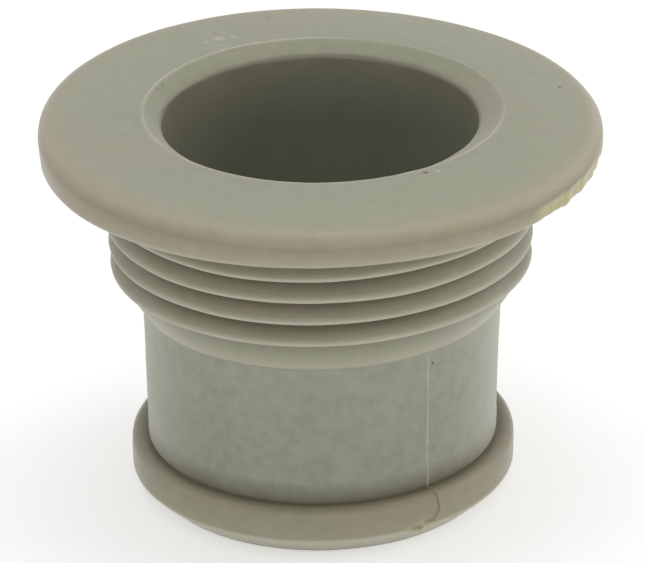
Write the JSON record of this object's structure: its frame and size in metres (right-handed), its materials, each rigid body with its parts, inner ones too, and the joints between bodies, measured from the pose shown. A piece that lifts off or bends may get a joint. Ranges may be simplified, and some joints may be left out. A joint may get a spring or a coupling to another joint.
{
  "type": "drain pipe adapter",
  "caption": "Grey rubber drain connection fitting: a flanged sleeve with sealing fins, an end bead and a through bore for a waste pipe.",
  "frame": {"origin": "centre of the foot ring, at the lower end of the bore", "axes": "+Z along the bore from the end bead up to the flange, -Y towards the side that the picture shows"},
  "size_m": [0.071, 0.071, 0.0507],
  "materials": {
    "grey_rubber": "matt moulded rubber, finely spark-eroded on the sleeve"
  },
  "bodies": {
    "root": {"drain_fitting": "grey_rubber"}
  },
  "joints": []
}
